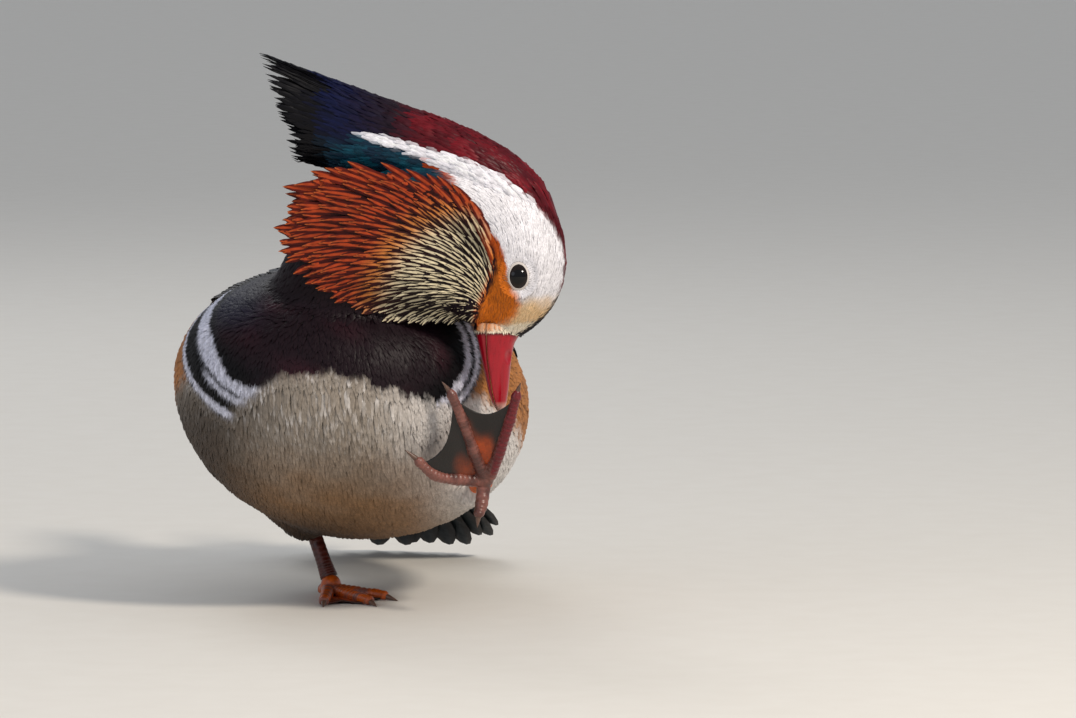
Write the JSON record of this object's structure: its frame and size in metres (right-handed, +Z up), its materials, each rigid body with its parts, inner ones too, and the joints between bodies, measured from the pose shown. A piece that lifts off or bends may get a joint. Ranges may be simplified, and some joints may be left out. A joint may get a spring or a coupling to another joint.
{
  "type": "mandarin duck",
  "caption": "Life-size male mandarin duck standing on one leg, its crested head bent down to the raised foot.",
  "frame": {"origin": "on the floor below the middle of the body, at the bird's standing foot", "axes": "+X is the bird's left, -Y is the way its breast faces, +Z is up"},
  "size_m": [0.1539, 0.2696, 0.2102],
  "materials": {
    "body_plumage": "soft, slightly glossy small feathers, dark maroon breast and pale grey belly",
    "face_plumage": "short soft white and buff feathers",
    "orange_plumage": "long stiff orange feathers with pale shafts",
    "dark_plumage": "glossy dark feathers with a green, blue and purple sheen",
    "bill_horn": "smooth satin horn",
    "eye": "wet, clear and dark",
    "leg_skin": "scaled skin, darker on the webs",
    "claw_horn": "satin horn"
  },
  "bodies": {
    "root": {"torso": "body_plumage", "neck": "body_plumage", "head": "face_plumage", "bill_upper": "bill_horn", "bill_lower": "bill_horn", "eye_right": "eye", "eye_left": "eye", "thigh_right": "body_plumage", "tarsus_right": "leg_skin", "foot_right": "leg_skin", "claw_right_inner": "claw_horn", "claw_right_middle": "claw_horn", "claw_right_outer": "claw_horn", "claw_right_hind": "claw_horn", "thigh_left": "body_plumage", "tarsus_left": "leg_skin", "foot_left": "leg_skin", "claw_left_inner": "claw_horn", "claw_left_middle": "claw_horn", "claw_left_outer": "claw_horn", "claw_left_hind": "claw_horn", "tail": "dark_plumage", "crest": "dark_plumage", "ruff_right": "orange_plumage", "wing_right": "dark_plumage", "sail_right": "orange_plumage", "ruff_left": "orange_plumage", "wing_left": "dark_plumage", "sail_left": "orange_plumage"}
  },
  "joints": []
}
